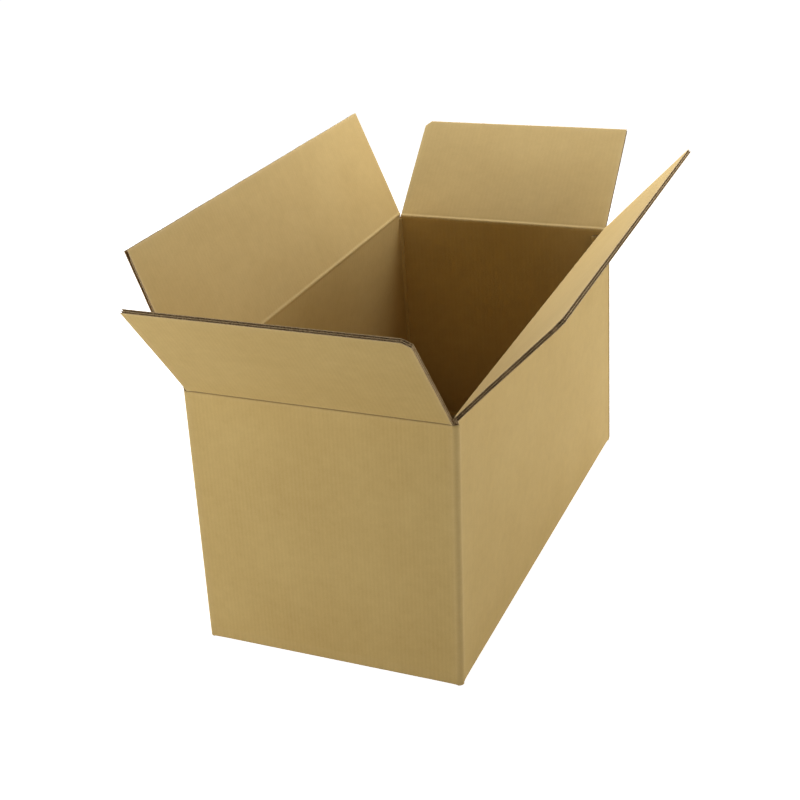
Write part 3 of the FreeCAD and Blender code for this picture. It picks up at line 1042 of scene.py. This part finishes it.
class Graph:
    """The node graph of one material."""

    def __init__(self, name: str) -> None:
        """Makes an empty material."""
        self.material = bpy.data.materials.new(name)
        self.material.use_nodes = True
        self.tree = self.material.node_tree
        self.tree.nodes.clear()

    def node(self, kind: str, settings: dict[str, Any] | None = None,
             inputs: dict[str | int, Any] | None = None) -> bpy.types.Node:
        """Adds a node.

        Args:
            kind: Its type.
            settings: Its own settings, with a ramp's stops under "stops", which are made first.
            inputs: Values, numbers or sockets for its inputs, by name or place.

        Returns:
            The node.
        """
        made = self.tree.nodes.new(kind)
        for label, value in (settings or {}).items():
            if label == "stops":
                ramp = made.color_ramp
                while len(ramp.elements) < len(value):
                    ramp.elements.new(0.5)
                for element, (spot, colour) in zip(ramp.elements, value):
                    element.position = spot
                    element.color = colour
            else:
                setattr(made, label, value)
        for label, value in (inputs or {}).items():
            socket = made.inputs[label]
            if isinstance(value, Number):
                value = value.socket
            if isinstance(value, bpy.types.NodeSocket):
                self.tree.links.new(value, socket)
            else:
                socket.default_value = value
        return made

    def number(self, kind: str, settings: dict[str, Any], inputs: dict[str | int, Any],
               output: str | int = 0) -> Number:
        """Adds a node and wraps one of its outputs as a number."""
        return Number(self, self.node(kind, settings, inputs).outputs[output])

    def mark(self, label: str) -> Number:
        """One of the mesh's own numbers."""
        return self.number("ShaderNodeAttribute", {"attribute_name": label}, {}, "Fac")

    def noise(self, where: Any, scale: float, detail: float = 2.0, rough: float = 0.5) -> Number:
        """Noise from 0 to 1 at some places."""
        inputs = {"Vector": where, "Scale": scale, "Detail": detail, "Roughness": rough}
        return self.number("ShaderNodeTexNoise", {}, inputs, "Fac")

    def stretched(self, where: Any, scale: tuple[float, float, float]) -> bpy.types.NodeSocket:
        """Places that are scaled by a different number each way."""
        return self.node("ShaderNodeMapping", {}, {"Vector": where, "Scale": scale}).outputs[0]

    def blend(self, share: Any, first: Any, second: Any, how: str = "MIX") -> bpy.types.NodeSocket:
        """A mix of two colours."""
        settings = {"data_type": "RGBA", "blend_type": how, "clamp_factor": True}
        return self.node("ShaderNodeMix", settings, {0: share, 6: first, 7: second}).outputs[2]

    def end(self, shader: bpy.types.NodeSocket) -> bpy.types.Material:
        """Gives the material its shader."""
        self.node("ShaderNodeOutputMaterial", {}, {"Surface": shader})
        return self.material


def linear(red: int, green: int, blue: int) -> tuple[float, float, float, float]:
    """A colour of 0 to 255 as Blender's linear numbers."""
    made = []
    for part in (red, green, blue):
        share = part / 255
        made.append(share / 12.92 if share <= 0.04045 else ((share + 0.055) / 1.055) ** 2.4)
    return made[0], made[1], made[2], 1.0


@dataclass(frozen=True)
class KraftLiner:
    """Brown kraft paper on a face of the board, with fibres, clouds and the flutes showing through, and
    painted shade in the crease valleys and low down on the inner faces.
    """

    name: str
    light: tuple[float, float, float, float]
    dark: tuple[float, float, float, float]
    worn: tuple[float, float, float, float]
    pitch: float
    washboard: float
    # How strongly painted shade darkens the crease valleys.
    valley: float = 0.0
    # How strongly painted shade darkens the inner faces low in the box.
    soiled: float = 0.0

    def build(self) -> bpy.types.Material:
        """Makes the material."""
        graph = Graph(self.name)
        place = graph.node("ShaderNodeUVMap", {"uv_map": "board"}).outputs[0]
        clouds = graph.noise(place, 9.0, 4.0, 0.6)
        mottle = graph.noise(place, 55.0, 3.0, 0.6)
        fibre = graph.noise(graph.stretched(place, (900.0, 160.0, 1.0)), 1.0, 3.0, 0.7)
        speck = graph.noise(place, 520.0, 3.0, 0.7)
        apart = graph.node("ShaderNodeSeparateXYZ", {}, {0: place})
        across = Number(graph, apart.outputs[0])
        ridges = (across * (math.tau / (self.pitch * MM))).sine()
        uneven = graph.noise(graph.stretched(place, (40.0, 6.0, 1.0)), 1.0, 2.0, 0.5)
        ridges = ridges * uneven
        tone = (clouds * 0.3 + mottle * 0.26 + fibre * 0.22 + speck * 0.22 - 0.5) * 2.6 + 0.5
        tone = (tone + ridges * self.washboard).clamped()
        colour = graph.blend(tone, self.dark, self.light)
        crease = graph.mark("crease")
        edge = graph.mark("edge")
        rub = graph.noise(graph.stretched(place, (120.0, 500.0, 1.0)), 1.0, 3.0, 0.7)
        wear = (crease * (rub * 1.5 - 0.35)).clamped() * 0.45 + edge * rub * 0.9
        colour = graph.blend(wear.clamped(), colour, self.worn)
        # Painted shade: the crease valley is darkened towards dark brown, standing in for the shade in the
        # fold.
        if self.valley:
            colour = graph.blend(crease**12 * self.valley, colour, linear(70, 48, 24))
        # Painted shade: inner faces darken towards dull brown from 0.3 m up down to the bottom, standing in
        # for the shade deep inside the box.
        if self.soiled:
            low = ((3.3 - Number(graph, apart.outputs[1])) / 0.3).clamped()
            colour = graph.blend(low * self.soiled, colour, linear(130, 100, 56))
        grain = fibre * 0.5 + speck * 0.35 + mottle * 0.4
        height = grain + ridges * 0.5
        bump = graph.node("ShaderNodeBump", {}, {"Strength": 0.28, "Distance": 0.00035, "Height": height})
        rough = 0.72 + mottle * 0.16
        shader = graph.node("ShaderNodeBsdfPrincipled", {}, {
            "Base Color": colour, "Roughness": rough, "Normal": bump.outputs[0],
            "Specular IOR Level": 0.5,
        })
        return graph.end(shader.outputs[0])


@dataclass(frozen=True)
class BarePaper:
    """Paper without a face of its own: the waved fluting, a liner's cut edge or a torn fibre."""

    name: str
    light: tuple[float, float, float, float]
    dark: tuple[float, float, float, float]
    scale: float = 420.0

    def build(self) -> bpy.types.Material:
        """Makes the material."""
        graph = Graph(self.name)
        place = graph.node("ShaderNodeTexCoord").outputs["Object"]
        coarse = graph.noise(place, self.scale, 3.0, 0.65)
        fine = graph.noise(place, self.scale * 4, 2.0, 0.6)
        tone = ((coarse * 0.6 + fine * 0.4 - 0.5) * 2.6 + 0.5).clamped()
        colour = graph.blend(tone, self.dark, self.light)
        bump = graph.node("ShaderNodeBump", {}, {"Strength": 0.4, "Distance": 0.0003, "Height": fine})
        shader = graph.node("ShaderNodeBsdfPrincipled", {}, {
            "Base Color": colour, "Roughness": 0.85 + coarse * 0.1, "Normal": bump.outputs[0],
            "Specular IOR Level": 0.2,
        })
        return graph.end(shader.outputs[0])


@dataclass
class Studio:
    """The pale floor, the soft light and the camera."""

    azimuth: float = 23.5202
    elevation: float = 25.4195
    roll: float = -3.5082
    focal: float = 1326.31
    place: tuple[float, float, float] = (755.88, -1850.86, 1195.57)
    frame_size: float = 800.0

    def camera(self) -> None:
        """Makes the camera at the photograph's angle."""
        turn, rise, roll = (math.radians(a) for a in (self.azimuth, self.elevation, self.roll))
        back = Vector((math.sin(turn) * math.cos(rise), -math.cos(turn) * math.cos(rise), math.sin(rise)))
        right = Vector((math.cos(turn), math.sin(turn), 0.0))
        up = back.cross(right)
        level_right = right * math.cos(roll) + up * math.sin(roll)
        level_up = up * math.cos(roll) - right * math.sin(roll)
        data = bpy.data.cameras.new("camera")
        data.sensor_width = 36.0
        data.lens = self.focal / self.frame_size * data.sensor_width
        data.clip_start, data.clip_end = 0.05, 60.0
        made = bpy.data.objects.new("camera", data)
        bpy.context.scene.collection.objects.link(made)
        matrix = Matrix((level_right, level_up, back)).transposed().to_4x4()
        matrix.translation = Vector(self.place) * MM
        made.matrix_world = matrix
        bpy.context.scene.camera = made

    def floor(self) -> None:
        """Makes the pale floor, which keeps the box's shadow and is white where it has none."""
        graph = Graph("studio_floor")
        path = graph.node("ShaderNodeLightPath")
        seen = Number(graph, path.outputs["Is Camera Ray"])
        shiny = Number(graph, path.outputs["Is Glossy Ray"])
        through = Number(graph, path.outputs["Is Transmission Ray"])
        direct = (seen + shiny + through).clamped()
        plain = graph.node("ShaderNodeBsdfDiffuse", {}, {"Color": (0.8, 0.8, 0.8, 1.0)})
        spot = graph.node("ShaderNodeTexCoord").outputs["Object"]
        away = graph.number("ShaderNodeVectorMath", {"operation": "LENGTH"}, {0: spot}, "Value")
        bright = 0.88 + ((away - 0.7) / 0.8).clamped() * 0.14
        glow = graph.node("ShaderNodeEmission", {}, {"Color": (1, 1, 1, 1), "Strength": bright})
        both = graph.node("ShaderNodeAddShader", {}, {0: plain.outputs[0], 1: glow.outputs[0]})
        mixed = graph.node("ShaderNodeMixShader", {}, {0: direct, 1: plain.outputs[0], 2: both.outputs[0]})
        material = graph.end(mixed.outputs[0])
        mesh = bpy.data.meshes.new("studio_floor")
        reach = 12.0
        corners = [(-reach, -reach, 0), (reach, -reach, 0), (reach, reach, 0), (-reach, reach, 0)]
        mesh.from_pydata([(x, y, -0.0005) for x, y, _ in corners], [], [(0, 1, 2, 3)])
        mesh.materials.append(material)
        made = bpy.data.objects.new("studio_floor", mesh)
        bpy.context.scene.collection.objects.link(made)

    def light(self) -> None:
        """Makes the even sky and the large soft lamps."""
        world = bpy.data.worlds.new("studio")
        bpy.context.scene.world = world
        world.use_nodes = True
        tree = world.node_tree
        tree.nodes.clear()
        even = tree.nodes.new("ShaderNodeBackground")
        even.inputs["Color"].default_value = (1.0, 1.0, 1.0, 1.0)
        even.inputs["Strength"].default_value = 0.03
        white = tree.nodes.new("ShaderNodeBackground")
        white.inputs["Color"].default_value = (1.0, 1.0, 1.0, 1.0)
        white.inputs["Strength"].default_value = 1.0
        path = tree.nodes.new("ShaderNodeLightPath")
        mix = tree.nodes.new("ShaderNodeMixShader")
        out = tree.nodes.new("ShaderNodeOutputWorld")
        add = tree.nodes.new("ShaderNodeMath")
        add.operation = "MAXIMUM"
        more = tree.nodes.new("ShaderNodeMath")
        more.operation = "MAXIMUM"
        tree.links.new(path.outputs["Is Camera Ray"], add.inputs[0])
        tree.links.new(path.outputs["Is Glossy Ray"], add.inputs[1])
        tree.links.new(add.outputs[0], more.inputs[0])
        tree.links.new(path.outputs["Is Transmission Ray"], more.inputs[1])
        tree.links.new(more.outputs[0], mix.inputs[0])
        tree.links.new(even.outputs[0], mix.inputs[1])
        tree.links.new(white.outputs[0], mix.inputs[2])
        tree.links.new(mix.outputs[0], out.inputs[0])
        self.lamp("back_top_lamp", (-0.1, 1.1, 1.7), 0.9, 32.0)
        self.lamp("front_left_lamp", (-1.1, -1.6, 0.7), 0.8, 16.0)
        self.lamp("low_right_lamp", (3.0, -1.2, 1.0), 1.8, 29.0)
        self.lamp("right_lamp", (1.6, 0.9, 0.7), 0.8, 9.0)
        self.lamp("left_lamp", (-2.2, 0.2, 1.0), 0.9, 14.0)

    def lamp(self, name: str, spot: tuple[float, float, float], size: float, power: float) -> None:
        """Makes one square soft lamp that faces the box."""
        data = bpy.data.lights.new(name, "AREA")
        data.size = size
        data.energy = power
        made = bpy.data.objects.new(name, data)
        bpy.context.scene.collection.objects.link(made)
        made.location = spot
        made.visible_camera = False
        way = Vector((0.0, 0.0, 0.3)) - Vector(spot)
        made.rotation_euler = way.to_track_quat("-Z", "Y").to_euler()


def materials() -> dict[Finish, bpy.types.Material]:
    """Makes the finishes of the board's faces."""
    # valley=0.6 paints shade into the outer liner's crease valleys.
    outer = KraftLiner(Finish.OUTER.value, linear(206, 178, 113), linear(186, 155, 90),
                       linear(217, 192, 140), BOARD.fine_pitch, 0.13, valley=0.6)
    # The inner liner gets painted shade towards the bottom of the box.
    inner = KraftLiner(Finish.INNER.value, linear(205, 178, 117), linear(186, 157, 96),
                       linear(219, 196, 145), BOARD.coarse_pitch, 0.08, soiled=0.5)
    # A darker copy of the inner liner: painted shade on the inside of the box's floor.
    floor = KraftLiner(Finish.FLOOR.value, linear(184, 159, 104), linear(166, 139, 84),
                       linear(200, 176, 128), BOARD.coarse_pitch, 0.08)
    cut = BarePaper(Finish.CUT.value, linear(228, 205, 164), linear(172, 140, 94))
    flute = BarePaper(Finish.FLUTE.value, linear(180, 152, 110), linear(120, 94, 62), 240.0)
    return {Finish.OUTER: outer.build(), Finish.INNER: inner.build(), Finish.CUT: cut.build(),
            Finish.FLUTE: flute.build(), Finish.FLOOR: floor.build()}


def dress(piece: bpy.types.Object, finishes: dict[Finish, bpy.types.Material],
          inside: Finish = Finish.INNER) -> None:
    """Gives a sheet of board its four finishes."""
    for finish in (Finish.OUTER, inside, Finish.CUT, Finish.FLUTE):
        piece.data.materials.append(finishes[finish])


def report(piece: bpy.types.Object) -> None:
    """Logs a piece's name and size."""
    LOG.info("%s: %d faces", piece.name, len(piece.data.polygons))


def main() -> None:
    """Builds the box, its studio and its camera."""
    studio = Studio()
    studio.camera()
    studio.floor()
    studio.light()
    finishes = materials()
    walls = Walls()
    ring = walls.build()
    dress(ring, finishes)
    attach(ring, "box")
    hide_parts("box_body")
    report(ring)
    for side in Side:
        floor_flap = FloorFlap(side).build(walls)
        # The floor flaps' inner faces take the darker liner with painted shade.
        dress(floor_flap, finishes, Finish.FLOOR)
        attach(floor_flap, "box")
        report(floor_flap)
    fluting = Fluting(finishes[Finish.FLUTE])
    fibres = Fibres(finishes[Finish.CUT])
    flaps = [
        TopFlap(Side.FRONT, 37.3, 0.0, 0.0, lift=0.0, longer=5.0, clip_high=11.0, side_gap=1.0, seed=1),
        TopFlap(Side.BACK, 48.0, 0.0, 0.0, lift=0.0, longer=7.0, clip_low=11.0, side_gap=2.0, seed=2),
        TopFlap(Side.LEFT, 18.9, 0.0, 3.8, lift=-0.5, longer=-1.0, seed=3),
        TopFlap(Side.RIGHT, 43.7, 0.0, 0.0, lift=-0.5, longer=-1.0, clip_low=11.0, flare_low=3.2, seed=4),
    ]
    for flap in flaps:
        panel = flap.build(walls)
        dress(panel, finishes)
        flap.bend(panel)
        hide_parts(flap.name)
        report(panel)
        strips = fluting.strips(flap)
        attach(strips, flap.name)
        report(strips)
        torn = fibres.along(f"{flap.name}_fibres", flap.lines(), 1.5, 0.8, flap.seed)
        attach(torn, flap.name)
        report(torn)
    bpy.context.scene.view_settings.view_transform = "Standard"


if __name__ == "__main__":
    main()
